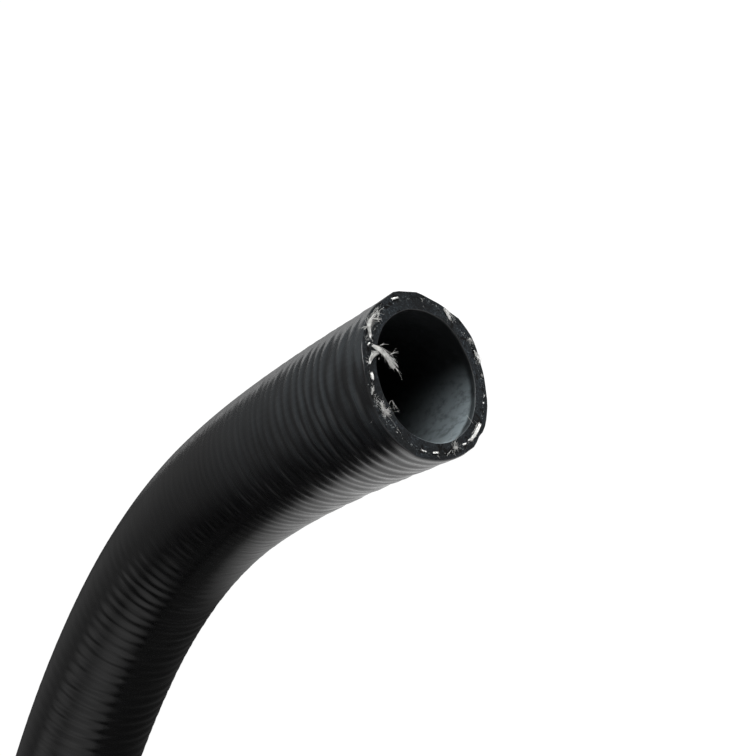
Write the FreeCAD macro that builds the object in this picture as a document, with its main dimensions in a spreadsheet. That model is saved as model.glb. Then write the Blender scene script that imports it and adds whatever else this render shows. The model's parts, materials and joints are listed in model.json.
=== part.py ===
"""A bare 1 m length of yarn-reinforced rubber hose, lying on its side in one open curve.

The hose is built up in layers, as it is made: a plain inner tube, one knitted layer of yarn
over it, and an outer cover. The three are concentric sweeps along one route, face to face.
Both ends are cut square through all the layers, and the cut yarns stand a little proud.

Frame: +Z up, the hose lies on Z = 0, X and Y are centred on the box of the whole hose.
The near end's mouth faces +X. Units are millimetres.
"""
import FreeCAD, Part
import Sketcher
import math
import os

os.makedirs("parts", exist_ok=True)
doc = FreeCAD.newDocument("hose")

# ---------------------------------------------------------------- driving sizes
SIZES = [
    ("bore_diameter", 32.0, "inside of the hose, fits a 32 mm spigot"),
    ("tube_wall", 2.4, "rubber between the bore and the yarn"),
    ("yarn_thickness", 0.9, "thickness of the knitted layer"),
    ("cover_wall", 1.2, "rubber over the yarn"),
    ("yarn_proud", 1.5, "how far a cut yarn stands out of the cut face"),
    ("yarn_count", 16, "yarns round the knitted layer"),
]
sheet = doc.addObject("Spreadsheet::Sheet", "Sizes")
for row, (alias, value, note) in enumerate(SIZES, start=1):
    sheet.set(f"A{row}", alias)
    sheet.set(f"B{row}", str(value))
    sheet.set(f"C{row}", note)
    sheet.setAlias(f"B{row}", alias)
doc.recompute()

# Diameters of the faces between the layers, each built up from the bore outwards.
BORE = "Sizes.bore_diameter"
TUBE_OUTSIDE = f"{BORE} + 2 * Sizes.tube_wall"
YARN_OUTSIDE = f"{TUBE_OUTSIDE} + 2 * Sizes.yarn_thickness"
COVER_OUTSIDE = f"{YARN_OUTSIDE} + 2 * Sizes.cover_wall"
CENTRE_HEIGHT = f"({COVER_OUTSIDE}) / 2"  # the hose lies on the floor

UP = FreeCAD.Vector(0, 0, 1)

# ---------------------------------------------------------------- the route
# Corners of the hose's centre line, seen from above, from the near mouth on. The second bend
# is the tightest, and the curve opens out towards the far end.
ROUTE = [
    (-10, 209),
    (-80, 209),
    (-147, 189),
    (-199, 142),
    (-231, 79),
    (-239, 10),
    (-224, -62),
    (-185, -126),
    (-129, -175),
    (-60, -204),
    (13, -212),
    (84, -198),
    (149, -165),
    (203, -117),
    (242, -59),
]
BEND_SHARE = 0.45  # share of the shorter run that a bend takes up on each side of its corner


def route_edges(corners):
    """Straight runs joined by tangent arcs, and the radii of the arcs.

    An arc starts and ends BEND_SHARE of the shorter of its two runs away from the corner, so
    its radius is that distance divided by the tangent of half the turn.
    """
    edges, radii = [], []
    reached = corners[0]
    for before, corner, after in zip(corners, corners[1:], corners[2:]):
        back, ahead = before - corner, after - corner
        trim = BEND_SHARE * min(back.Length, ahead.Length)
        back.normalize()
        ahead.normalize()
        half_turn = (math.pi - back.getAngle(ahead)) / 2
        radius = trim / math.tan(half_turn)
        inward = (back + ahead).normalize()
        middle = corner + inward * (radius / math.cos(half_turn) - radius)
        first, last = corner + back * trim, corner + ahead * trim
        edges.append(Part.LineSegment(reached, first))
        edges.append(Part.Arc(first, middle, last))
        radii.append(radius)
        reached = last
    edges.append(Part.LineSegment(reached, corners[-1]))
    return edges, radii


corners = [FreeCAD.Vector(x, y, 0) for x, y in ROUTE]
centre_line, bend_radii = route_edges(corners)
hose_length = sum(edge.length() for edge in centre_line)


# ---------------------------------------------------------------- the layers
def origin_plane(body, role):
    """One of a body's own origin planes, found by its role."""
    return next(plane for plane in body.Origin.OriginFeatures if plane.Role == role)


def route_sketch(body):
    """The centre line, on the level at which the hose's outside touches the floor."""
    sketch = body.newObject("Sketcher::SketchObject", body.Name + "_route")
    sketch.AttachmentSupport = [(origin_plane(body, "XY_Plane"), "")]
    sketch.MapMode = "FlatFace"
    sketch.setExpression("AttachmentOffset.Base.z", CENTRE_HEIGHT)
    sketch.addGeometry(centre_line, False)
    return sketch


def ring_sketch(body, inner, outer):
    """The layer's section: two circles round the centre line, on the near end's cut."""
    sketch = body.newObject("Sketcher::SketchObject", body.Name + "_ring")
    sketch.AttachmentSupport = [(origin_plane(body, "YZ_Plane"), "")]
    sketch.MapMode = "FlatFace"
    mouth = corners[0]
    sketch.AttachmentOffset = FreeCAD.Placement(
        FreeCAD.Vector(mouth.y, 0, mouth.x), FreeCAD.Rotation()
    )
    sketch.setExpression("AttachmentOffset.Base.y", CENTRE_HEIGHT)
    for first_radius, diameter in enumerate((inner, outer), start=1):
        # drawn at a first radius of its own, then driven by the sheet
        drawn = Part.Circle(FreeCAD.Vector(), UP, first_radius)
        circle = sketch.addGeometry(drawn, False)
        sketch.addConstraint(Sketcher.Constraint("Coincident", circle, 3, -1, 1))
        size = sketch.addConstraint(Sketcher.Constraint("Diameter", circle, 2 * first_radius))
        sketch.setExpression(f"Constraints[{size}]", diameter)
    return sketch


def layer(name, inner, outer):
    """One layer of the hose, swept along the whole route."""
    body = doc.addObject("PartDesign::Body", name)
    body.Label = name
    route = route_sketch(body)
    ring = ring_sketch(body, inner, outer)
    sweep = body.newObject("PartDesign::AdditivePipe", name + "_sweep")
    sweep.Profile = ring
    sweep.Spine = (route, [])
    return body


inner_tube = layer("inner_tube", BORE, TUBE_OUTSIDE)
yarn_layer = layer("yarn_layer", TUBE_OUTSIDE, YARN_OUTSIDE)
outer_cover = layer("outer_cover", YARN_OUTSIDE, COVER_OUTSIDE)


# ---------------------------------------------------------------- the cut yarns
STUB_SIDES = 6  # a yarn is a bundle of fibres, so a six-sided stub is round enough


def yarn_ends(name, end, before):
    """The cut yarns at one end: short stubs on the yarn layer's edge, evenly round it.

    end is the last corner of the route there, and before the one next to it.
    """
    outward = (end - before).normalize()
    sideways = UP.cross(outward)
    yarn_radius = (sheet.bore_diameter + sheet.yarn_thickness) / 2 + sheet.tube_wall
    height = sheet.bore_diameter / 2 + sheet.tube_wall + sheet.yarn_thickness + sheet.cover_wall
    centre = end + UP * height
    stubs = []
    for number in range(int(sheet.yarn_count)):
        angle = 2 * math.pi * number / int(sheet.yarn_count)
        spoke = sideways * math.cos(angle) + UP * math.sin(angle)
        stub = doc.addObject("Part::Prism", f"{name}_{number + 1}")
        stub.Polygon = STUB_SIDES
        stub.setExpression("Circumradius", "Sizes.yarn_thickness / 2")
        stub.setExpression("Height", "Sizes.yarn_proud")
        stub.Placement = FreeCAD.Placement(
            centre + spoke * yarn_radius, FreeCAD.Rotation(UP, outward)
        )
        stubs.append(stub)
    group = doc.addObject("Part::Compound", name)
    group.Label = name
    group.Links = stubs
    return group


yarn_ends_near = yarn_ends("yarn_ends_near", corners[0], corners[1])
yarn_ends_far = yarn_ends("yarn_ends_far", corners[-1], corners[-2])

# ---------------------------------------------------------------- checks and files
SWEEP_TOLERANCE = 0.005  # how far a layer's volume may be from its section times its length

nodes = [inner_tube, yarn_layer, outer_cover, yarn_ends_near, yarn_ends_far]
doc.recompute()
for item in doc.Objects:
    if "Invalid" in item.State or "Error" in item.State:
        raise RuntimeError(f"{item.Label} did not build: {item.State}")
for node in nodes:
    if node.Shape.isNull() or not node.Shape.isValid():
        raise RuntimeError(f"{node.Label} has no valid shape")

print("bend radii:", ", ".join(f"{radius:.0f}" for radius in bend_radii), "mm")
print(f"length of the hose: {hose_length:.1f} mm")
for body in (inner_tube, yarn_layer, outer_cover):
    section = body.Group[1].Shape.Edges
    area = abs(section[0].Curve.Radius**2 - section[1].Curve.Radius**2) * math.pi
    share = body.Shape.Volume / (area * hose_length)
    print(f"{body.Label}: volume is {share:.4f} of its section times its length")
    if abs(share - 1) > SWEEP_TOLERANCE:
        raise RuntimeError(f"{body.Label} is not a whole sweep")

for node in nodes:
    node.Shape.exportStep(f"parts/{node.Label}.step")
whole = Part.makeCompound([node.Shape for node in nodes])
print("box:", whole.BoundBox)
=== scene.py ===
import json
import math
import bpy
import numpy as np
from mathutils import Matrix, Vector


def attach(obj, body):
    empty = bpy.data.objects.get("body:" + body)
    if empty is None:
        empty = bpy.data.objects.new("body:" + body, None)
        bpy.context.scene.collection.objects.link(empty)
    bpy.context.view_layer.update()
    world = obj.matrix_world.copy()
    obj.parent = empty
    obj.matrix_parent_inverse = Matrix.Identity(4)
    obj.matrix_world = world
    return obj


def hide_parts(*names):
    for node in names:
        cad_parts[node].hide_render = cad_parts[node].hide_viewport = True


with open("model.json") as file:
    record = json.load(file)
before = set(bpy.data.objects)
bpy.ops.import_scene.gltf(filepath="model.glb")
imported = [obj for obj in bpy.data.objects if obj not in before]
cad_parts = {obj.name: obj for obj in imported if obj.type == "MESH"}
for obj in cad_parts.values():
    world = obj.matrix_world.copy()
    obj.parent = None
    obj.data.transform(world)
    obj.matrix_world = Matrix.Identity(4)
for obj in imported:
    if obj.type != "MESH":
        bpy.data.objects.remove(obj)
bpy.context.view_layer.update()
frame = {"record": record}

MM = 0.001

# ---------------------------------------------------------------------------
# Viewpoint. The eye is close to the cut end and looks down into the bore,
# with the hose curving away behind it.
VIEW_AIM = Vector((-17.2, 208.5, 29.7)) * MM
VIEW_DISTANCE = 232.6 * MM
VIEW_AZIMUTH = 153.1
VIEW_ELEVATION = 33.8
VIEW_ROLL = 74.6

azimuth = math.radians(VIEW_AZIMUTH)
elevation = math.radians(VIEW_ELEVATION)
ahead = Vector((
    math.cos(azimuth) * math.cos(elevation),
    math.sin(azimuth) * math.cos(elevation),
    -math.sin(elevation),
))
level_right = ahead.cross(Vector((0, 0, 1))).normalized()
level_up = level_right.cross(ahead)
roll = math.radians(VIEW_ROLL)
view_up = level_up * math.cos(roll) + level_right * math.sin(roll)
view_right = ahead.cross(view_up)
eye = VIEW_AIM - ahead * VIEW_DISTANCE

camera_data = bpy.data.cameras.new("view")
camera_data.sensor_width = 36.0
camera_data.lens = 47.6
camera_data.clip_start = 0.01
camera = bpy.data.objects.new("view", camera_data)
bpy.context.scene.collection.objects.link(camera)
camera.matrix_world = Matrix.Translation(eye) @ Matrix(
    (view_right, view_up, -ahead)
).transposed().to_4x4()
bpy.context.scene.camera = camera

# ---------------------------------------------------------------------------
# Inner tube. Smooth EPDM rubber that carries the water, extruded first, a
# little bluer and duller than the cover. The knife leaves its end matt and
# crumbly. Chalky dust lies inside the mouth, spread as painted light where the
# front light falls in, with painted shade along the lip.

# corners of the hose's line seen from above, from the mouth on
ROUTE = np.array([
    (-10, 209), (-80, 209), (-147, 189), (-199, 142), (-231, 79),
    (-239, 10), (-224, -62), (-185, -126), (-129, -175), (-60, -204),
    (13, -212), (84, -198), (149, -165), (203, -117), (242, -59),
]) * MM
mounts = {m["name"]: m for m in frame["record"]["mounts"]}
BORE_RADIUS = mounts["near_bore"]["dims"]["r_mm"] * MM
COVER_RADIUS = mounts["near_clip_seat"]["dims"]["r_mm"] * MM
MOUTH = Vector(mounts["near_bore"]["pos_m"])
TUBE_WALL = 2.4 * MM
YARN_THICKNESS = 0.9 * MM
YARN_INSIDE = BORE_RADIUS + TUBE_WALL
COVER_INSIDE = YARN_INSIDE + YARN_THICKNESS

# the line: a smooth curve that starts at the mouth, bends towards each corner in turn and
# ends at the last one, kept as points close together
SAME_POINT = 0.001 * MM
line_data = bpy.data.curves.new("hose_line", "CURVE")
line_data.dimensions = "3D"
line_data.resolution_u = 48
spline = line_data.splines.new("NURBS")
spline.points.add(len(ROUTE) - 1)
for point, (x, y) in zip(spline.points, ROUTE):
    point.co = (x, y, COVER_RADIUS, 1)
spline.order_u = 3
spline.use_endpoint_u = True
line_object = bpy.data.objects.new("hose_line", line_data)
line_mesh = bpy.data.meshes.new_from_object(line_object)
line_points = np.array([v.co for v in line_mesh.vertices])
bpy.data.objects.remove(line_object)
if np.linalg.norm(line_points[0] - MOUTH) > np.linalg.norm(line_points[-1] - MOUTH):
    line_points = line_points[::-1]
line_steps = np.linalg.norm(np.diff(line_points, axis=0), axis=1)
apart = line_steps > SAME_POINT
line_points, line_steps = line_points[np.r_[True, apart]], line_steps[apart]
line_at = np.r_[0, np.cumsum(line_steps)]
HOSE_LENGTH = float(line_at[-1])
line_ahead = np.gradient(line_points, line_at, axis=0)
line_ahead /= np.linalg.norm(line_ahead, axis=1)[:, None]


def on_hose(along, radius, turn):
    """Points at a distance along the hose's line, a radius from it and a turn round it.
    The point is the line's point, plus the radius times (cos turn x side + sin turn x up),
    where side is up x ahead. Past either end the line goes straight on."""
    along, radius, turn = np.broadcast_arrays(along, radius, turn)
    inside = np.clip(along, 0, HOSE_LENGTH)
    centre = np.stack([np.interp(inside, line_at, c) for c in line_points.T], -1)
    forward = np.stack([np.interp(inside, line_at, c) for c in line_ahead.T], -1)
    forward /= np.linalg.norm(forward, axis=-1, keepdims=True)
    centre = centre + forward * (along - inside)[..., None]
    side = np.cross((0, 0, 1), forward)
    out = np.cos(turn)[..., None] * side + np.sin(turn)[..., None] * np.array((0, 0, 1))
    return centre + radius[..., None] * out


def waves(along, turn, length, turns, seed, count=6):
    """Smooth unevenness from -1 to 1: a sum of sines whose wavelength along the hose is near
    length, and which go round it a whole number of times, up to turns."""
    rng = np.random.default_rng(seed)
    total = 0
    for _ in range(count):
        step = math.tau / (length * rng.uniform(0.7, 1.6))
        total = total + np.sin(
            step * along + rng.integers(-turns, turns + 1) * turn + rng.uniform(0, math.tau)
        )
    return 0.7 * total / math.sqrt(count)


SLANT_SIDEWAYS, SLANT_UP = 0.023, -0.089  # how far the cut leans, as a share of the radius
# depth in mm, waves round the cut, twist for each mm of radius, and where the first wave is
SAWING = ((0.16, 3, 0.0, 1.0), (0.10, 7, 0.7, 0.0), (0.05, 17, 2.1, 0.0))
NICK_TURN, NICK_WIDTH = math.radians(320), math.radians(3.5)
NICK_DEPTH = 0.7 * MM
NICK_FROM, NICK_TO = 19 * MM, 20.5 * MM  # radii: only the cover is nicked
CUT_FADE = 14 * MM


def cut(along, radius, turn):
    """How far the hand-held knife's cut lies off square: the radius times a slant in the cosine
    and sine of the turn, plus the knife's sawing as three sines round the cut, plus a
    bell-shaped nick. All of it fades away evenly behind the cut face."""
    off_square = radius * (SLANT_SIDEWAYS * np.cos(turn) + SLANT_UP * np.sin(turn))
    for depth, times, twist, start in SAWING:
        off_square = off_square + depth * MM * np.sin(times * turn + twist * radius / MM + start)
    from_nick = np.angle(np.exp(1j * (turn - NICK_TURN)))
    in_cover = np.clip((radius - NICK_FROM) / (NICK_TO - NICK_FROM), 0, 1)
    nick = NICK_DEPTH * np.exp(-((from_nick / NICK_WIDTH) ** 2)) * in_cover
    return (off_square + nick) * np.clip(1 - along / CUT_FADE, 0, 1)


def piece(name, points, quads, materials, straight=None, second=None, sharp=50):
    """A mesh object at the origin from arrays of points and of four-sided faces. Straight is
    a place for each point, and second says which faces take the second material."""
    mesh = bpy.data.meshes.new(name)
    mesh.from_pydata(points, [], quads.tolist())
    if straight is not None:
        layer = mesh.attributes.new("straight", "FLOAT_VECTOR", "POINT")
        layer.data.foreach_set("vector", np.ascontiguousarray(straight, float).ravel())
    for material in materials:
        mesh.materials.append(material)
    if second is not None:
        mesh.polygons.foreach_set("material_index", second.astype(np.int32))
    mesh.shade_smooth()
    mesh.set_sharp_from_angle(angle=math.radians(sharp))
    made = bpy.data.objects.new(name, mesh)
    bpy.context.scene.collection.objects.link(made)
    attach(made, "root")
    return made


def closed_rings(along, radius, turn, name, skin, cut_skin, cut_rows):
    """A closed skin from rows of points round the hose, each joined to the next, and the
    last to the first. Its attribute carries the straightened hose: distance along it and
    place in its section. The faces after the cut rows are the knife's, and have its finish."""
    rows, sides = radius.shape
    along = along + np.where(along < HOSE_LENGTH / 2, cut(along, radius, turn), 0)
    points = on_hose(along, radius, turn).reshape(-1, 3)
    row, side = np.meshgrid(np.arange(rows), np.arange(sides), indexing="ij")
    next_row, next_side = (row + 1) % rows, (side + 1) % sides
    quads = np.stack([
        row * sides + side, row * sides + next_side,
        next_row * sides + next_side, next_row * sides + side,
    ], -1).reshape(-1, 4)
    straight = np.stack([along, radius * np.cos(turn), radius * np.sin(turn)], -1)
    knife = np.repeat(np.isin(np.arange(rows), cut_rows), sides)
    return piece(name, points, quads, [skin, cut_skin], straight, knife)


def linear(colour):
    """An sRGB hex colour as linear red, green, blue and opaque alpha."""
    parts = [int(colour[i:i + 2], 16) / 255 for i in (1, 3, 5)]
    return (*[c / 12.92 if c <= 0.04045 else ((c + 0.055) / 1.055) ** 2.4 for c in parts], 1)


def new_material(name):
    """A material with an empty node tree."""
    material = bpy.data.materials.new(name)
    material.use_nodes = True
    material.node_tree.nodes.clear()
    return material


def node(owner, kind, inputs=None, **settings):
    """Adds a node to a material or to the world. Inputs gives its inputs a value or an output
    that is linked to them, and settings are the node's own properties."""
    made = owner.node_tree.nodes.new(kind)
    for name, value in settings.items():
        setattr(made, name, value)
    for name, value in (inputs or {}).items():
        if isinstance(value, bpy.types.NodeSocket):
            owner.node_tree.links.new(value, made.inputs[name])
        else:
            made.inputs[name].default_value = value
    return made


COLOUR_FROM, COLOUR_TO, MIXED = 6, 7, 2  # a Mix node's places for its colours and their mix


def ramp(material, value, stops):
    """A colour ramp over a value. Each stop is a position and a hex colour or a brightness."""
    made = node(material, "ShaderNodeValToRGB", {"Fac": value})
    elements = made.color_ramp.elements
    while len(elements) < len(stops):
        elements.new(0.5)
    for element, (position, colour) in zip(elements, stops):
        element.position = position
        element.color = linear(colour) if isinstance(colour, str) else (colour, colour, colour, 1)
    return made.outputs["Color"]


RUBBER_IOR = 1.52
BLOTCH = 16.67 * MM  # wide and faint, where the skin is a little greyer
THREAD = 1.111 * MM  # the 0.3 mm threads of the curing cloth are too fine to show, so coarser
THREAD_DEPTH = 0.05 * MM
GRAIN = 0.4 * MM  # the real grain is some hundredths of a millimetre, so coarser
GRAIN_DEPTH = 0.02 * MM


def rubber(name, skin, roughness, coating=None):
    """Carbon-black EPDM rubber with a smooth skin. To the eye it is black, with a soft satin
    shine that faint threads running round the hose break up, in blotches of two blacks. A
    coating is a function that lays a paler grey over the colour: dust spread as painted light
    in the bore, and painted light on the cover."""
    m = new_material(name)
    straight = node(m, "ShaderNodeAttribute", attribute_name="straight").outputs["Vector"]
    round_it = node(m, "ShaderNodeMapping", {"Vector": straight, "Scale": (1.0, 0.2, 0.2)}).outputs["Vector"]
    threads, blotches, grain = (
        node(m, "ShaderNodeTexNoise", {"Vector": place, "Scale": 1 / size, "Detail": detail}).outputs["Fac"]
        for place, size, detail in ((round_it, THREAD, 3), (straight, BLOTCH, 4), (straight, GRAIN, 2))
    )
    colour = ramp(m, blotches, [(0.3, skin[0]), (0.7, skin[1])])
    if coating:
        colour = coating(m, straight, colour)
    rough = ramp(m, threads, [(0.3, roughness[0]), (0.7, roughness[1])])
    fine = node(m, "ShaderNodeBump", {"Height": threads, "Strength": 0.5, "Distance": THREAD_DEPTH})
    finer = node(m, "ShaderNodeBump", {
        "Height": grain, "Strength": 0.3, "Distance": GRAIN_DEPTH, "Normal": fine.outputs["Normal"],
    })
    shader = node(m, "ShaderNodeBsdfPrincipled", {
        "Base Color": colour, "Roughness": rough, "Normal": finer.outputs["Normal"], "IOR": RUBBER_IOR,
    })
    node(m, "ShaderNodeOutputMaterial", {"Surface": shader.outputs["BSDF"]})
    return m


# painted light: the dust's share rises towards the side that the front softbox lights and fades inwards as
# that light does; the lip band with hardly any dust is painted shade
LIT_DUST_SIDE = (0.0, 0.82, -0.57)
LIT_DUST_FULL = 16 * MM
LIT_DUST_REACH = 13 * MM
LIP_FROM, LIP_TO = 10 * MM, 15.5 * MM
SHADED_LIP_WIDE, SHADED_LIP_NARROW = 3.2 * MM, 0.4 * MM
LIP_BLUR = 0.5 * MM
DUST_SPOT = 1.923 * MM  # where powder has come off
DUST_GREY = "#a9b6bb"


def bore_dust_and_painted_light(m, straight, colour):
    """Pale chalky powder over black rubber, which looks grey and quite matt, laid out partly as
    painted light. Its share is a product: it rises towards the side of the bore that the front
    softbox lights and decays as a power of e inwards, as that light does, is nearly nothing on
    the lip, a band of painted shade which is wider on one side, and is wiped off in spots."""
    parts = node(m, "ShaderNodeSeparateXYZ", {"Vector": straight}).outputs
    side = node(m, "ShaderNodeVectorMath", {
        0: straight, 1: LIT_DUST_SIDE,
    }, operation="DOT_PRODUCT").outputs["Value"]
    towards_lit_side = node(m, "ShaderNodeMapRange", {
        "Value": side, "From Min": 0.0, "From Max": LIT_DUST_FULL,
    }, interpolation_type="SMOOTHSTEP").outputs["Result"]
    inwards = node(m, "ShaderNodeMath", {0: parts["X"], 1: -1 / LIT_DUST_REACH}, operation="MULTIPLY").outputs[0]
    fading_inwards = node(m, "ShaderNodeMath", {0: inwards}, operation="EXPONENT").outputs[0]
    # painted shade: a band along the lip, wider on one side, with hardly any of the pale grey
    lip = node(m, "ShaderNodeMapRange", {
        "Value": parts["Y"], "From Min": LIP_FROM, "From Max": LIP_TO,
        "To Min": SHADED_LIP_WIDE, "To Max": SHADED_LIP_NARROW,
    }).outputs["Result"]
    past_lip = node(m, "ShaderNodeMath", {0: parts["X"], 1: lip}, operation="SUBTRACT").outputs[0]
    outside_shaded_lip = node(m, "ShaderNodeMapRange", {
        "Value": past_lip, "From Min": -LIP_BLUR, "From Max": LIP_BLUR, "To Min": 0.16, "To Max": 1.1,
    }).outputs["Result"]
    stretched = node(m, "ShaderNodeMapping", {"Vector": straight, "Scale": (0.6, 1.0, 1.0)}).outputs["Vector"]
    spots = node(m, "ShaderNodeTexNoise", {
        "Vector": stretched, "Scale": 1 / DUST_SPOT, "Detail": 6, "Roughness": 0.65,
    }).outputs["Fac"]
    share = towards_lit_side
    for other in (fading_inwards, outside_shaded_lip, ramp(m, spots, [(0.34, 0.45), (0.52, 1.0)])):
        share = node(m, "ShaderNodeMath", {0: share, 1: other}, operation="MULTIPLY").outputs[0]
    return node(m, "ShaderNodeMix", {
        "Factor": share, COLOUR_FROM: colour, COLOUR_TO: linear(DUST_GREY),
    }, data_type="RGBA").outputs[MIXED]


CRUMB = 0.3846 * MM  # the crumbs' own 0.1 mm is too fine to show, so coarser
CRUMB_HEIGHT = 0.22 * MM
SMEAR = 5.263 * MM  # where the blade has dragged the rubber smooth
PIT = 1.786 * MM  # the space that a torn-out loop of yarn leaves
# painted shade: the near-black of the pits
PIT_SHADE_BLACK = "#010101"


def knife_cut(name, colours, pits):
    """Rubber torn by a knife. To the eye it is matt and bluer than its skin, with crumbs that
    catch the light, darker smears, and pits down into the yarn, painted black as the shade
    in them. Colours run from the smears to the crumbs, and pits is the share of the noise
    below which there is a pit."""
    m = new_material(name)
    straight = node(m, "ShaderNodeAttribute", attribute_name="straight").outputs["Vector"]
    crumbs = node(m, "ShaderNodeTexNoise", {
        "Vector": straight, "Scale": 1 / CRUMB, "Detail": 4, "Roughness": 0.7,
    }).outputs["Fac"]
    smears = node(m, "ShaderNodeTexNoise", {
        "Vector": straight, "Scale": 1 / SMEAR, "Detail": 4,
    }).outputs["Fac"]
    holes = node(m, "ShaderNodeTexNoise", {
        "Vector": straight, "Scale": 1 / PIT, "Detail": 2,
    }).outputs["Fac"]
    speckled = ramp(m, crumbs, list(zip((0.34, 0.46, 0.58, 0.70), colours)))
    smeared = node(m, "ShaderNodeMix", {
        "Factor": ramp(m, smears, [(0.40, 0.0), (0.62, 0.7)]),
        COLOUR_FROM: speckled, COLOUR_TO: linear(colours[0]),
    }, data_type="RGBA").outputs[MIXED]
    # painted shade: the pits are coloured near-black for the shade down in them, and also sink the bump
    pit_relief_and_shade = ramp(m, holes, [(pits - 0.02, 0.0), (pits + 0.03, 1.0)])
    colour = node(m, "ShaderNodeMix", {
        "Factor": pit_relief_and_shade, COLOUR_FROM: linear(PIT_SHADE_BLACK), COLOUR_TO: smeared,
    }, data_type="RGBA").outputs[MIXED]
    height = node(m, "ShaderNodeMath", {0: crumbs, 1: pit_relief_and_shade}, operation="ADD").outputs[0]
    torn = node(m, "ShaderNodeBump", {"Height": height, "Strength": 0.7, "Distance": CRUMB_HEIGHT})
    shader = node(m, "ShaderNodeBsdfPrincipled", {
        "Base Color": colour, "Roughness": 0.8, "Normal": torn.outputs["Normal"], "IOR": RUBBER_IOR,
        "Specular IOR Level": 0.15,
    })
    node(m, "ShaderNodeOutputMaterial", {"Surface": shader.outputs["BSDF"]})
    return m


# two blacks with a dull shine, since an extruded bore cures in steam without a smooth mould
tube_rubber = rubber("EPDM rubber, extruded", ("#08090a", "#101214"), (0.40, 0.55), bore_dust_and_painted_light)
cut_rubber = knife_cut("EPDM rubber, knife-cut", ("#0a0b0c", "#181b1e", "#23282c", "#50585e"), 0.36)

TUBE_SIDES = 144
TUBE_ROWS = 110
TUBE_CUT_ROWS = 7
FAR_ROWS_TO = 72 * MM  # beyond it the bore has coarse rows, and before it fine ones
NEAR_LENGTH, NEAR_STEP = 70 * MM, 1.6 * MM
LIP_ROWS = np.array([0, 0.15, 0.4, 0.8]) * MM
BORE_UNEVEN, BORE_WAVE = 0.06 * MM, 12 * MM
LIP_ROUNDING = (0.18 * MM, 0.05 * MM)

turn = np.arange(TUBE_SIDES)[None] * math.tau / TUBE_SIDES
outer_at = np.linspace(0, HOSE_LENGTH, TUBE_ROWS)[:, None]
near_at = np.r_[LIP_ROWS, np.arange(NEAR_STEP, NEAR_LENGTH, NEAR_STEP)][::-1]
bore_at = np.r_[np.linspace(HOSE_LENGTH, FAR_ROWS_TO, TUBE_ROWS), near_at][:, None]
bore_radius = BORE_RADIUS + BORE_UNEVEN * waves(bore_at, turn, BORE_WAVE, turns=4, seed=11)
bore_radius[-1] += LIP_ROUNDING[0]
bore_radius[-2] += LIP_ROUNDING[1]
share = np.linspace(0, 1, TUBE_CUT_ROWS + 2)[1:-1, None]
far_radius = YARN_INSIDE + (bore_radius[0] - YARN_INSIDE) * share
near_radius = bore_radius[-1] + (YARN_INSIDE - bore_radius[-1]) * share
tube_at = np.r_[
    outer_at, np.full((TUBE_CUT_ROWS, 1), HOSE_LENGTH), bore_at, np.zeros((TUBE_CUT_ROWS, 1)),
]
tube_radius = np.r_[np.full((TUBE_ROWS, TUBE_SIDES), YARN_INSIDE), far_radius, bore_radius, near_radius]
tube_cuts = np.r_[
    TUBE_ROWS - 1:TUBE_ROWS + TUBE_CUT_ROWS, len(tube_at) - TUBE_CUT_ROWS - 1:len(tube_at),
]
tube = closed_rings(tube_at, tube_radius, turn, "tube", tube_rubber, cut_rubber, tube_cuts)
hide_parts("inner_tube")

# ---------------------------------------------------------------------------
# Yarn layer. Polyester yarn knitted round the tube, pressed into the rubber
# on both sides. On the cut it is a thin line of soaked fibres.
YARN_SIDES = 96
YARN_ROWS = 100
CUT_SINKS = 0.12 * MM

# grey-black and dull, since the rubber has soaked the fibres through
soaked_yarn = rubber("polyester yarn soaked in rubber", ("#141516", "#1f2021"), (0.6, 0.8))
cut_yarn = knife_cut(
    "polyester yarn soaked in rubber, cut", ("#060708", "#14171a", "#2b3034", "#a3a8a8"), 0.42
)

turn = np.arange(YARN_SIDES)[None] * math.tau / YARN_SIDES
out_at = np.linspace(0, HOSE_LENGTH, YARN_ROWS)[:, None]
yarn_at = np.r_[out_at, [[HOSE_LENGTH - CUT_SINKS]], out_at[::-1], [[CUT_SINKS]]]
yarn_middle = np.full((1, YARN_SIDES), (YARN_INSIDE + COVER_INSIDE) / 2)
yarn_radius = np.r_[
    np.full((YARN_ROWS, YARN_SIDES), COVER_INSIDE), yarn_middle,
    np.full((YARN_ROWS, YARN_SIDES), YARN_INSIDE), yarn_middle,
]
yarn_cuts = np.array([YARN_ROWS - 1, YARN_ROWS, 2 * YARN_ROWS, 2 * YARN_ROWS + 1])
yarn_sleeve = closed_rings(yarn_at, yarn_radius, turn, "yarn_sleeve", soaked_yarn, cut_yarn, yarn_cuts)
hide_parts("yarn_layer")

# ---------------------------------------------------------------------------
# Outer cover. A satin black EPDM rubber skin over the yarn. The cloth tape
# wound round the hose while it cured left its turns as fine shallow rings.
# A thin grey is painted on top near the mouth and on the crests, as painted
# light from the lamp above.

# along the hose: how deep the rings are, how much the bend changes them, and their pitch
DEPTH_AT = np.array([0, 45, 80, 112, 132, 190, 260, 420, 700, 1010]) * MM
RING_DEPTH = np.array([0.30, 0.28, 0.09, 0.06, 0.19, 0.24, 0.16, 0.24, 0.18, 0.26]) * MM
BEND_AT = np.array([-20, 60, 230, 320]) * MM
BEND_SHARE = np.array([0.0, 1.0, 1.0, 0.4])
PITCH_AT = np.array([0, 50, 85, 115, 220, 500, 1010]) * MM
RING_PITCH = np.array([3.25, 3.05, 2.95, 4.1, 4.1, 3.5, 3.3]) * MM
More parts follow.
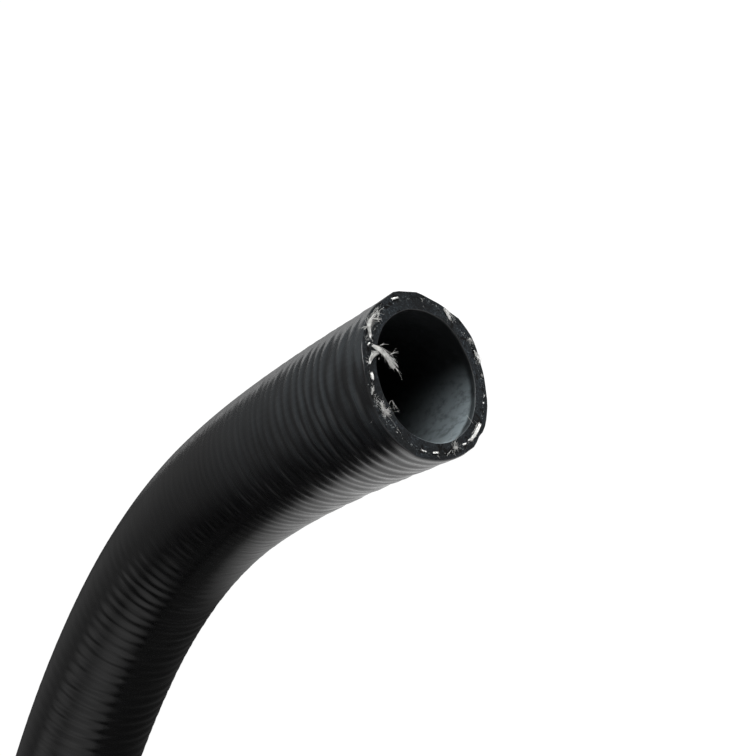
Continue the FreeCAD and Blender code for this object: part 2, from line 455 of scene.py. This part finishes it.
# share of a pitch or of the height, wavelength, turns round the hose, and seed
DRIFTS = ((0.12, 24 * MM, 2, 1), (0.09, 8 * MM, 10, 2))
SWELLS = ((0.25, 45 * MM, 1, 3), (0.40, 7 * MM, 11, 4))
CREST_HEIGHT, LEAST_HEIGHT = 0.72, 0.12
FLAT_OUTSIDE, BUNCHED_INSIDE = 0.05, 1.5
COUNT_STEP = 0.25 * MM
ring_places = np.arange(-5 * MM, HOSE_LENGTH + 5 * MM, COUNT_STEP)
ring_count = np.cumsum(COUNT_STEP / np.interp(ring_places, PITCH_AT, RING_PITCH))


def rings(along, turn):
    """The cover's radius: rounded crests one pitch apart, a raised cosine of the ring's number,
    whose place and height drift. The bend bunches them up on its inner side, at turn 0, and
    pulls them flat on its outer side."""
    drift, swell = (
        sum(share * waves(along, turn, length, turns, seed) for share, length, turns, seed in uneven)
        for uneven in (DRIFTS, SWELLS)
    )
    phase = math.tau * (np.interp(along, ring_places, ring_count) + drift)
    height = np.clip(CREST_HEIGHT + swell, LEAST_HEIGHT, 1)
    crest = (0.5 + 0.5 * np.cos(phase)) ** 0.8
    bunched = FLAT_OUTSIDE + (BUNCHED_INSIDE - FLAT_OUTSIDE) * (0.5 + 0.5 * np.cos(turn)) ** 2
    bent = 1 + np.interp(along, BEND_AT, BEND_SHARE) * (bunched - 1)
    return COVER_RADIUS - np.interp(along, DEPTH_AT, RING_DEPTH) * bent * (1 - crest * height)


# the rim as the knife left it: turn in degrees, and how far the edge stands out in mm
RIM_CORNERS = np.array([
    (0, 0.1), (12, 0.4), (34, 0.5), (58, 0.0), (81, 0.0), (100, 0.4), (128, 0.6),
    (151, 0.9), (171, 0.3), (186, -0.4), (194, -0.2), (211, 0.6), (226, 0.6), (246, 0.0),
    (270, 0.0), (285, 0.3), (297, 0.5), (303, 0.0), (312, 0.5), (331, -0.2), (360, 0.1),
])
FLAT_FROM, FLAT_TO = math.radians(128), math.radians(211)
RIM_FADE = 5 * MM


def rim(along, turn):
    """How far the splayed rim stands out: from corner to corner, straight across the flats that
    the knife cut on top, where the edge drops to the chord, and fading away behind the cut."""
    at, out = np.radians(RIM_CORNERS[:, 0]), RIM_CORNERS[:, 1] * MM
    angle = np.broadcast_to(turn, np.broadcast(along, turn).shape)
    spread = np.interp(angle, at, out)
    low = np.clip(np.searchsorted(at, angle, side="right") - 1, 0, len(at) - 2)
    half, middle = (at[low + 1] - at[low]) / 2, (at[low + 1] + at[low]) / 2
    chord = COVER_RADIUS * (1 - np.cos(half) / np.cos(angle - middle))
    flat = np.where((angle >= FLAT_FROM) & (angle < FLAT_TO), chord, 0)
    return (spread - flat) * np.exp(-along / RIM_FADE)


# painted light: the grey is full near the mouth and fades along the hose, rises towards the top and is
# stronger on the crests
LIGHT_FULL_ALONG, LIGHT_END_ALONG = 20 * MM, 75 * MM
LIGHT_FROM_HEIGHT, LIGHT_FULL_HEIGHT = 10 * MM, 20 * MM
CREST_LIGHT_DEPTH = 0.22 * MM
PAINTED_LIGHT_GREY = "#25282a"


def painted_top_light(m, straight, colour):
    """A thin grey painted over black rubber as painted light, which looks a little milky. Its share
    is a product: it falls away along the hose from the mouth, rises towards the top of its
    section where the lamp above lights it, and is more on the rings' crests than between them,
    as painted highlights."""
    parts = node(m, "ShaderNodeSeparateXYZ", {"Vector": straight}).outputs
    section = node(m, "ShaderNodeVectorMath", {
        0: straight, 1: (0.0, 1.0, 1.0),
    }, operation="MULTIPLY").outputs["Vector"]
    from_line = node(m, "ShaderNodeVectorMath", {0: section}, operation="LENGTH").outputs["Value"]
    share = 1.0
    for value, start, end, first, last in (
        (parts["X"], LIGHT_FULL_ALONG, LIGHT_END_ALONG, 0.7, 0.0),
        (parts["Z"], LIGHT_FROM_HEIGHT, LIGHT_FULL_HEIGHT, 0.0, 1.0),
        (from_line, COVER_RADIUS - CREST_LIGHT_DEPTH, COVER_RADIUS, 0.1, 1.5),
    ):
        part = node(m, "ShaderNodeMapRange", {
            "Value": value, "From Min": start, "From Max": end, "To Min": first, "To Max": last,
        }).outputs["Result"]
        share = node(m, "ShaderNodeMath", {0: share, 1: part}, operation="MULTIPLY").outputs[0]
    return node(m, "ShaderNodeMix", {
        "Factor": share, COLOUR_FROM: colour, COLOUR_TO: linear(PAINTED_LIGHT_GREY),
    }, data_type="RGBA").outputs[MIXED]


# deep black with a clear satin shine, since it cures against tightly wound tape
cover_rubber = rubber("EPDM rubber, tape-cured satin", ("#060607", "#0b0b0c"), (0.20, 0.32), painted_top_light)

COVER_SIDES = 70
FINE_LENGTH = 215 * MM
FINE_STEP, COARSE_STEP = 0.53 * MM, 0.92 * MM
FIRST_ROW = 0.6 * MM
EDGE_ROWS = np.array([0.0, 0.12, 0.3]) * MM
EDGE_ROUNDING = np.array([0.15, 0.04]) * MM
CUT_SHARES = np.array([0.12, 0.35, 0.6, 0.85])[:, None]
COVER_ROWS = 100

turn = np.arange(COVER_SIDES)[None] * math.tau / COVER_SIDES
fine = np.arange(FIRST_ROW, FINE_LENGTH, FINE_STEP)
coarse = np.arange(FINE_LENGTH, HOSE_LENGTH - FIRST_ROW, COARSE_STEP)
outer_at = np.r_[EDGE_ROWS, fine, coarse, HOSE_LENGTH - EDGE_ROWS[::-1]][:, None]
outer_radius = rings(outer_at, turn) + rim(outer_at, turn)
# the splayed rim stops at the table that it lies on
outer_radius = np.minimum(outer_radius, COVER_RADIUS / np.maximum(-np.sin(turn), 0.01))
outer_radius[[0, 1]] -= EDGE_ROUNDING[:, None]
outer_radius[[-1, -2]] -= EDGE_ROUNDING[:, None]
far_radius = outer_radius[-1] + (COVER_INSIDE - outer_radius[-1]) * CUT_SHARES
near_radius = COVER_INSIDE + (outer_radius[0] - COVER_INSIDE) * (1 - CUT_SHARES[::-1])
inner_at = np.linspace(HOSE_LENGTH, 0, COVER_ROWS)[:, None]
outer_rows, cut_rows = len(outer_at), len(CUT_SHARES)
cover_at = np.r_[outer_at, np.full((cut_rows, 1), HOSE_LENGTH), inner_at, np.zeros((cut_rows, 1))]
cover_radius = np.r_[outer_radius, far_radius, np.full((COVER_ROWS, COVER_SIDES), COVER_INSIDE), near_radius]
cover_cuts = np.r_[outer_rows - 1:outer_rows + cut_rows, len(cover_at) - cut_rows - 1:len(cover_at)]
cover = closed_rings(cover_at, cover_radius, turn, "cover", cover_rubber, cut_rubber, cover_cuts)
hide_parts("outer_cover")

# ---------------------------------------------------------------------------
# Cut yarn ends. Where the knife went through the knit, each yarn's white
# polyester fibres stand out of the wall, some cropped and some pulled long.
FIBRE_TINT = 1.111 * MM  # a fibre is 0.02 mm thick, too fine to show, so tints are coarser


def yarn(name, dark, light):
    """Matt white polyester fibre. To the eye it is chalky, a little uneven from strand to
    strand, with a soft bloom where fibres catch the light."""
    m = new_material(name)
    place = node(m, "ShaderNodeTexCoord").outputs["Object"]
    tint = node(m, "ShaderNodeTexNoise", {
        "Vector": place, "Scale": 1 / FIBRE_TINT, "Detail": 3,
    }).outputs["Fac"]
    shader = node(m, "ShaderNodeBsdfPrincipled", {
        "Base Color": ramp(m, tint, [(0.3, dark), (0.55, light)]), "Roughness": 0.6, "Sheen Weight": 0.3,
    })
    node(m, "ShaderNodeOutputMaterial", {"Surface": shader.outputs["BSDF"]})
    return m


# bright white where the knife left the bundle whole; the frayed fibres take a greyer copy, painted grey as
# the shade between loose fibres
polyester = yarn("polyester yarn, cropped", "#dad9d6", "#fcfcfa")
shaded_polyester = yarn("polyester yarn, frayed, painted grey as shade", "#838381", "#cfcfcc")

FIBRE_RADIUS = 0.045 * MM
FIBRE_STEPS = 9
FIBRE_SIDES = 4
ROOT_MISSES, TIP_MISSES = 0.2, 0.45  # how much of the line a fibre may leave out at each end
WILD_SHARE, WILD_STRAY, WILD_THICKNESS = 0.14, 2.8, 0.5
TIP_THINS = 0.6
NO_TANGENT = np.array((0.31, 0.52, 0.79))  # a direction that no fibre takes


def lock(points, width, fray, count, at_mouth, rng, thick=FIBRE_RADIUS):
    """A lock of fibres that follows a bent line through three points, each given by its turn
    in degrees, its radius and how far it stands off the cut face in mm. Each fibre keeps a
    part of the line, beside it by its own share of the width, and strays by the fray and in
    a loose helix towards its tip, and none goes through the table. A few stray wildly. A
    small square tube, thinner towards the tip, is carried along each."""
    turn, radius, off = np.array(points, float).T
    turn, radius, off = np.radians(turn), radius * MM, off * MM
    if at_mouth:
        along = cut(np.zeros(3), radius, turn) - off
    else:
        along = HOSE_LENGTH + off
    first, middle, last = on_hose(along, radius, turn)
    bend = 2 * middle - (first + last) / 2
    t = np.linspace(0, 1, FIBRE_STEPS)[None, :, None]
    start = rng.uniform(0, ROOT_MISSES, (count, 1, 1))
    end = 1 - TIP_MISSES * rng.uniform(0, 1, (count, 1, 1)) ** 1.5
    u = start + (end - start) * t
    line = (1 - u) ** 2 * first + 2 * u * (1 - u) * bend + u ** 2 * last
    beside = rng.normal(0, 0.42, (count, 1, 3)) * width * MM
    wild = np.where(rng.uniform(0, 1, (count, 1, 1)) < WILD_SHARE, WILD_STRAY, 1.0)
    stray = rng.normal(0, 1, (count, 1, 3)) * fray * wild * MM
    size = rng.uniform(0.1, 0.5, (count, 1, 1)) * fray * MM
    angle = math.tau * rng.uniform(0.5, 1.8, (count, 1, 1)) * t + rng.uniform(0, math.tau, (count, 1, 1))
    two_ways = rng.normal(0, 1, (2, count, 1, 3))
    curl = (two_ways[0] * np.cos(angle) + two_ways[1] * np.sin(angle)) * size * t
    line = line + beside + stray * t ** 1.7 + curl
    line[..., 2] = np.maximum(line[..., 2], thick)
    tangent = np.gradient(line, axis=1)
    tangent /= np.maximum(np.linalg.norm(tangent, axis=-1, keepdims=True), 1e-9)
    one = np.cross(tangent, NO_TANGENT)
    one /= np.maximum(np.linalg.norm(one, axis=-1, keepdims=True), 1e-9)
    two = np.cross(tangent, one)
    corner = np.arange(FIBRE_SIDES) * math.tau / FIBRE_SIDES
    ring = np.cos(corner)[:, None] * one[:, :, None] + np.sin(corner)[:, None] * two[:, :, None]
    thick = np.where(wild > 1, WILD_THICKNESS, 1.0) * thick * (1 - TIP_THINS * t)
    return line[:, :, None] + thick[..., None] * ring


def bundle(shells):
    """Joins fibres' shells into one array of points and one of faces, ends closed."""
    shell = np.concatenate(shells)
    count, steps, sides, _ = shell.shape
    number = np.arange(shell[..., 0].size).reshape(count, steps, sides)
    after = np.roll(number, -1, axis=2)
    walls = np.stack([number[:, :-1], after[:, :-1], after[:, 1:], number[:, 1:]], -1).reshape(-1, 4)
    caps = np.concatenate([number[:, 0, ::-1], number[:, -1]]).reshape(-1, sides)
    return shell.reshape(-1, 3), np.concatenate([walls, caps])


# three points (turn in degrees, radius, height off the face), width, fray in mm, and fibres
CROPPED_LOCKS = [
    # cropped flush: small bright ovals
    ([(144, 19.6, 0), (147, 19.5, 0.4), (151, 19.5, 0)], 0.24, 0.02, 40),
    ([(254, 19.2, 0), (255, 19.2, 0.2), (256, 19.3, 0)], 0.14, 0.05, 8),
    ([(270, 19.1, 0), (271, 19.1, 0.2), (272, 19.1, 0)], 0.16, 0.03, 12),
    ([(276, 18.8, 0), (277, 18.8, 0.2), (277, 18.8, 0)], 0.15, 0.03, 10),
    ([(319, 18.5, 0), (321, 18.3, 0.3), (323, 18.2, 0)], 0.18, 0.03, 26),
    ([(351, 18.4, 0), (354, 18.5, 0.3), (356, 18.5, 0)], 0.20, 0.03, 34),
    ([(2, 18.6, 0), (4, 18.7, 0.2), (7, 18.6, 0)], 0.14, 0.05, 20),
    ([(72, 18.0, 0), (74, 18.3, 0.4), (77, 18.2, 0)], 0.26, 0.03, 60),
    ([(97, 18.8, 0), (98, 18.7, 0.3), (99, 18.4, 0)], 0.17, 0.03, 16),
    # yarns cut along their length: a smooth bar and two round bundles
    ([(295, 18.8, 0), (305, 18.5, 0.5), (313, 18.8, 0)], 0.38, 0.04, 150),
    ([(307, 18.4, 0), (312, 18.6, 0.4), (316, 18.2, 0.2)], 0.26, 0.20, 18),
    ([(196, 19.5, 0), (200, 18.6, 0.4), (205, 17.9, 0)], 0.28, 0.08, 56),
    ([(237, 19.2, 0), (242, 19.2, 0.4), (246, 19.6, 0)], 0.34, 0.10, 60),
    # the roots of the fan and of the big tuft
    ([(83, 18.4, 0), (85, 18.4, 0.4), (87, 18.2, 0)], 0.24, 0.06, 46),
    ([(103, 18.3, 0), (106, 19.1, 0.5), (109, 19.7, 0.5)], 0.24, 0.06, 60),
]
PULLED_LOCKS = [
    # fuzz round the bar and the bundles
    ([(296, 18.8, 0), (300, 18.6, 0.6), (303, 17.8, 0.5)], 0.30, 0.45, 12),
    ([(196, 19.6, 0), (200, 18.9, 0.6), (208, 18.6, 0.3)], 0.40, 0.40, 26),
    ([(236, 19.2, 0), (241, 19.2, 0.7), (246, 19.8, 0.6)], 0.40, 0.35, 20),
    ([(226, 19.6, 0), (228, 19.4, 0.4), (231, 19.4, 0)], 0.38, 0.30, 22),
    # a burst of short fibres
    ([(332, 17.9, 0), (333, 17.8, 0.4), (334, 17.8, 0.6)], 0.12, 0.85, 40),
    ([(331, 17.9, 0), (333, 17.8, 0.3), (335, 17.8, 0.1)], 0.24, 0.12, 24),
    ([(337, 18.1, 0), (341, 18.7, 0.3), (344, 19.2, 0.3)], 0.06, 0.16, 4),
    # low tuft, and the fine curled fibres that it hangs over the bore
    ([(44, 17.6, 0), (49, 18.4, 0.4), (54, 18.1, 0)], 0.26, 0.30, 50),
    ([(50, 18.3, 0), (48, 18.5, 0.6), (46, 18.5, 0.6)], 0.24, 0.55, 60),
    ([(51, 18.4, 0.2), (54, 18.6, 0.6), (55, 18.2, 0.6)], 0.18, 0.35, 24),
    ([(48, 18.5, 0.2), (47, 19.0, 0.6), (46, 19.8, 0.6)], 0.16, 0.40, 12),
    ([(50, 16.6, 0.3), (52, 16.2, 1.0), (52, 16.0, 1.6)], 0.04, 0.12, 1),
    ([(52, 16.2, 1.6), (50, 16.5, 2.0), (46, 16.7, 2.2)], 0.05, 0.30, 2),
    ([(51, 16.5, 1.8), (47, 16.7, 2.2), (41, 16.7, 2.4)], 0.05, 0.20, 1),
    ([(43, 17.3, 2.2), (43, 16.9, 2.4), (41, 16.7, 2.4)], 0.05, 0.10, 2),
    # pale fibres by the pit
    ([(62, 19.7, 0), (64, 19.6, 0.4), (67, 18.9, 0.3)], 0.16, 0.24, 20),
    # a fan that opens upwards
    ([(83, 18.4, 0), (87, 18.4, 0.8), (92, 17.6, 1.0)], 0.20, 0.30, 46),
    ([(83, 18.3, 0), (89, 17.6, 0.8), (93, 16.6, 1.0)], 0.18, 0.30, 34),
    ([(84, 18.4, 0.2), (83, 19.8, 0.8), (83, 21.3, 1.2)], 0.06, 0.14, 4),
    # the long yarn that has slipped out and hangs over the bore
    ([(97, 17.8, 0.4), (91, 15.2, 1.8), (78, 13.4, 2.6)], 0.34, 0.16, 130),
    ([(97, 17.8, 0.4), (92, 15.0, 1.9), (79, 13.1, 2.8)], 0.42, 0.50, 50),
    ([(80, 13.5, 2.6), (76, 12.6, 2.8), (71, 12.3, 2.6)], 0.05, 0.14, 4),
    ([(92, 13.9, 2.2), (95, 12.9, 2.6), (98, 11.6, 3.0)], 0.02, 0.20, 2),
    ([(93, 13.2, 2.4), (97, 13.0, 2.7), (101, 12.7, 3.0)], 0.02, 0.20, 1),
    ([(89, 14.1, 2.0), (88, 13.4, 2.5), (87, 12.2, 3.0)], 0.04, 0.30, 2),
    ([(98, 16.4, 0.8), (101, 15.4, 1.6), (103, 14.2, 2.2)], 0.03, 0.25, 2),
    ([(90, 15.9, 0.5), (87, 16.0, 1.0), (84, 15.6, 1.2)], 0.05, 0.20, 1),
    # the big tuft laid along the cut
    ([(104, 18.5, 0), (108, 19.7, 0.8), (112, 20.2, 0.6)], 0.26, 0.22, 56),
    ([(106, 19.0, 0.2), (111, 20.0, 0.8), (117, 20.1, 0.8)], 0.30, 0.60, 34),
    ([(112, 20.2, 0.3), (117, 20.0, 0.9), (123, 19.8, 1.4)], 0.22, 0.50, 30),
    ([(116, 19.7, 0.5), (118, 19.0, 1.0), (119, 18.0, 1.4)], 0.14, 0.34, 20),
    ([(120, 18.8, 0.8), (122, 19.2, 1.0), (124, 19.8, 1.2)], 0.12, 0.26, 14),
    ([(109, 20.0, 0.3), (106, 20.9, 0.8), (103, 21.4, 1.0)], 0.18, 0.30, 14),
    # one filament from the bar to the bore's edge
    ([(300, 17.2, 0), (301, 14.8, 0.6), (299, 13.4, 0.8)], 0.02, 0.03, 2),
    # wisps on top
    ([(172, 19.2, 0), (173, 18.8, 0.4), (174, 18.4, 0.3)], 0.10, 0.16, 4),
    ([(175, 17.4, 0), (175, 17.1, 0.3), (176, 16.8, 0.2)], 0.05, 0.10, 2),
]
# single short fibres: the turn where they lie, how far they spread in degrees, and how many
SCATTERED = ((60, 12, 46), (108, 14, 60), (25, 26, 5), (235, 22, 18), (328, 30, 20))
YARN_RADIUS = 18.9  # mm, the middle of the knit
PULLED_THICKNESS = 0.75 * FIBRE_RADIUS
SCATTERED_THICKNESS = 0.6 * FIBRE_RADIUS
FIBRE_SHARP = 80

rng = np.random.default_rng(7)
near_shells = [lock(*one_lock, True, rng) for one_lock in CROPPED_LOCKS]
cropped_fibres = sum(len(shell) for shell in near_shells)
near_shells += [lock(*one_lock, True, rng, PULLED_THICKNESS) for one_lock in PULLED_LOCKS]
for turn_there, spread_there, count_there in SCATTERED:
    for at in rng.normal(turn_there, spread_there / 2, count_there):
        radius_there = rng.normal(YARN_RADIUS, 0.45)
        near_shells.append(lock([
            (at, radius_there, 0), (at + rng.normal(0, 0.8), radius_there + rng.normal(0, 0.2), 0.15),
            (at + rng.normal(0, 1.5), radius_there + rng.normal(0, 0.4), 0.1),
        ], 0.04, 0.1, 1, True, rng, SCATTERED_THICKNESS))
points, quads = bundle(near_shells)
fibre_count = sum(len(shell) for shell in near_shells)
pulled = np.arange(fibre_count) >= cropped_fibres
pulled = np.r_[np.repeat(pulled, (FIBRE_STEPS - 1) * FIBRE_SIDES), pulled, pulled]
near_tufts = piece(
    "yarn_tufts_near", points, quads, [polyester, shaded_polyester], second=pulled, sharp=FIBRE_SHARP
)
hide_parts("yarn_ends_near")

# the far cut: one lock for each yarn, nearly evenly round it, longer ones leaning over more
FAR_YARNS = 16
far_turns = np.degrees(np.arange(FAR_YARNS) * math.tau / FAR_YARNS + rng.normal(0, 0.06, FAR_YARNS))
far_shells = []
for at in far_turns:
    length, fray = rng.uniform(0.4, 2.2), rng.uniform(0.1, 0.9)
    lean = rng.normal(0, 2.0 * length)
    far_shells.append(lock([
        (at, YARN_RADIUS, -0.3), (at + lean / 2, YARN_RADIUS + rng.normal(0, 0.2), 0.6 * length),
        (at + lean, YARN_RADIUS + rng.normal(0, 0.4), length),
    ], rng.uniform(0.25, 0.5), fray, int(rng.integers(24, 90)), False, rng))
points, quads = bundle(far_shells)
far_tufts = piece("yarn_tufts_far", points, quads, [polyester], sharp=FIBRE_SHARP)
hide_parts("yarn_ends_far")

# ---------------------------------------------------------------------------
# Studio. A white table in a white room, as the camera sees them. The black
# rubber mirrors less of it: a painted pool of light round the mouth, the table's
# mouth side and far back, with the rest of the table painted dim as shade, white
# walls on the mouth's side and three soft patches.
TABLE_HALF = 3.0
TABLE_WHITE = "#e6e6e6"
TABLE_STRENGTH, TABLE_GLOW = 1.12, 0.9  # together they render as 1, the rest shows the shadow
POOL_MIDDLE = Vector((MOUTH.x, MOUTH.y - 50 * MM, 0.0))
POOL_FULL, POOL_EDGE, POOL_OUTSIDE = 65 * MM, 133 * MM, 0.06
BACK_SIDE = Vector((0.35, 0.94, 0.0))
BACK_FROM, BACK_FULL = 0.13, 0.36
MOUTH_SIDE_FROM, MOUTH_SIDE_FULL = -0.02, 0.06

table_mesh = bpy.data.meshes.new("table_top")
table_mesh.from_pydata(
    [(x * TABLE_HALF, y * TABLE_HALF, 0) for x, y in ((-1, -1), (1, -1), (1, 1), (-1, 1))],
    [], [(0, 1, 2, 3)],
)
table = bpy.data.objects.new("table_top", table_mesh)
bpy.context.scene.collection.objects.link(table)

# laminate, matt and pale, which gives the eye a plain white with a soft shadow
laminate = new_material("white laminate")
rays = node(laminate, "ShaderNodeLightPath").outputs
on_table = node(laminate, "ShaderNodeNewGeometry").outputs["Position"]
from_pool = node(laminate, "ShaderNodeVectorMath", {
    0: on_table, 1: POOL_MIDDLE,
}, operation="DISTANCE").outputs["Value"]
backwards = node(laminate, "ShaderNodeVectorMath", {
    0: on_table, 1: BACK_SIDE,
}, operation="DOT_PRODUCT").outputs["Value"]
sideways = node(laminate, "ShaderNodeSeparateXYZ", {"Vector": on_table}).outputs["X"]
# painted light: for mirrors the table glows in a pool round the mouth and on its mouth side and far back, and
# is painted dim elsewhere as the hose's shade
mirrored = 0.0
for place, start, end, first, last in (
    (from_pool, POOL_FULL, POOL_EDGE, 1.0, POOL_OUTSIDE),
    (backwards, BACK_FROM, BACK_FULL, 0.0, 1.0),
    (sideways, MOUTH_SIDE_FROM, MOUTH_SIDE_FULL, 0.0, 1.0),
):
    part = node(laminate, "ShaderNodeMapRange", {
        "Value": place, "From Min": start, "From Max": end, "To Min": first, "To Max": last,
    }).outputs["Result"]
    mirrored = node(laminate, "ShaderNodeMath", {0: mirrored, 1: part}, operation="MAXIMUM").outputs[0]
mirrored = node(laminate, "ShaderNodeMath", {
    0: mirrored, 1: rays["Is Glossy Ray"],
}, operation="MULTIPLY").outputs[0]
seen = node(laminate, "ShaderNodeMath", {
    0: rays["Is Camera Ray"], 1: rays["Is Transmission Ray"],
}, operation="MAXIMUM").outputs[0]
strength = node(laminate, "ShaderNodeMath", {0: seen, 1: mirrored}, operation="MAXIMUM").outputs[0]
strength = node(laminate, "ShaderNodeMath", {0: strength, 1: TABLE_STRENGTH}, operation="MULTIPLY").outputs[0]
glow = node(laminate, "ShaderNodeMath", {0: seen, 1: TABLE_GLOW}, operation="MULTIPLY").outputs[0]
glow = node(laminate, "ShaderNodeMath", {0: glow, 1: rays["Is Glossy Ray"]}, operation="MAXIMUM").outputs[0]
matt = node(laminate, "ShaderNodeBsdfDiffuse", {"Color": linear(TABLE_WHITE)})
shine = node(laminate, "ShaderNodeEmission", {"Color": (1, 1, 1, 1), "Strength": strength})
both = node(laminate, "ShaderNodeMixShader", {0: glow, 1: matt.outputs[0], 2: shine.outputs[0]})
node(laminate, "ShaderNodeOutputMaterial", {"Surface": both.outputs[0]})
table_mesh.materials.append(laminate)

# soft patches in the dim room: each grows from the start, the cosine to its direction, to its
# brightness in the middle
ROOM_DIM = 0.010
PATCHES = (
    ((-0.70, 0.30, 0.65), 0.55, 0.21),  # a pale ceiling behind the hose
    ((-0.15, -0.86, 0.48), 0.89, 0.52),  # a window at its inner side
    ((-0.35, -0.40, 0.85), 0.945, 0.55),  # a lamp above the window
)
WALL_FROM, WALL_FULL, WALL_WHITE = -0.25, 0.35, 0.5

room = bpy.data.worlds.new("room")
bpy.context.scene.world = room
room.use_nodes = True
room.node_tree.nodes.clear()
towards = node(room, "ShaderNodeTexCoord").outputs["Generated"]
light = ROOM_DIM
for direction, start, brightness in PATCHES:
    facing = node(room, "ShaderNodeVectorMath", {
        0: towards, 1: Vector(direction).normalized(),
    }, operation="DOT_PRODUCT").outputs["Value"]
    patch = node(room, "ShaderNodeMapRange", {
        "Value": facing, "From Min": start, "From Max": 1.0, "To Min": 0.0, "To Max": brightness,
    }).outputs["Result"]
    light = node(room, "ShaderNodeMath", {0: light, 1: patch}, operation="ADD").outputs[0]
# mirrors see white walls on the mouth's side, and the camera sees white everywhere
rays = node(room, "ShaderNodeLightPath").outputs
sideways = node(room, "ShaderNodeSeparateXYZ", {"Vector": towards}).outputs["X"]
walls = node(room, "ShaderNodeMapRange", {
    "Value": sideways, "From Min": WALL_FROM, "From Max": WALL_FULL, "To Min": 0.0, "To Max": WALL_WHITE,
}).outputs["Result"]
walls = node(room, "ShaderNodeMath", {0: walls, 1: rays["Is Glossy Ray"]}, operation="MULTIPLY").outputs[0]
light = node(room, "ShaderNodeMath", {0: light, 1: walls}, operation="ADD").outputs[0]
for ray in ("Is Camera Ray", "Is Transmission Ray"):
    light = node(room, "ShaderNodeMath", {0: light, 1: rays[ray]}, operation="MAXIMUM").outputs[0]
air = node(room, "ShaderNodeBackground", {"Color": (1, 1, 1, 1), "Strength": light})
node(room, "ShaderNodeOutputWorld", {"Surface": air.outputs["Background"]})

# a softbox in front lights the cut, and a lamp with a honeycomb the top of the mouth
SOFTBOX_PLACE = Vector((0.62, 0.58, 0.52))
softbox = bpy.data.lights.new("front", "AREA")
softbox.shape = "RECTANGLE"
softbox.size = softbox.size_y = 0.5
softbox.energy = 8.0
softbox_lamp = bpy.data.objects.new("front", softbox)
softbox_lamp.location = SOFTBOX_PLACE
softbox_lamp.rotation_mode = "QUATERNION"
softbox_lamp.rotation_quaternion = (MOUTH - SOFTBOX_PLACE).to_track_quat("-Z", "Y")
bpy.context.scene.collection.objects.link(softbox_lamp)

honeycomb = bpy.data.lights.new("honeycomb", "SPOT")
honeycomb.energy = 10.0
honeycomb.spot_size = math.radians(34)
honeycomb.spot_blend = 1.0
honeycomb.shadow_soft_size = 0.03
honeycomb_lamp = bpy.data.objects.new("honeycomb", honeycomb)
honeycomb_lamp.location = MOUTH + Vector((0.02, -0.02, 0.50))
honeycomb_lamp.visible_glossy = False
bpy.context.scene.collection.objects.link(honeycomb_lamp)

bpy.context.scene.view_settings.view_transform = "Standard"
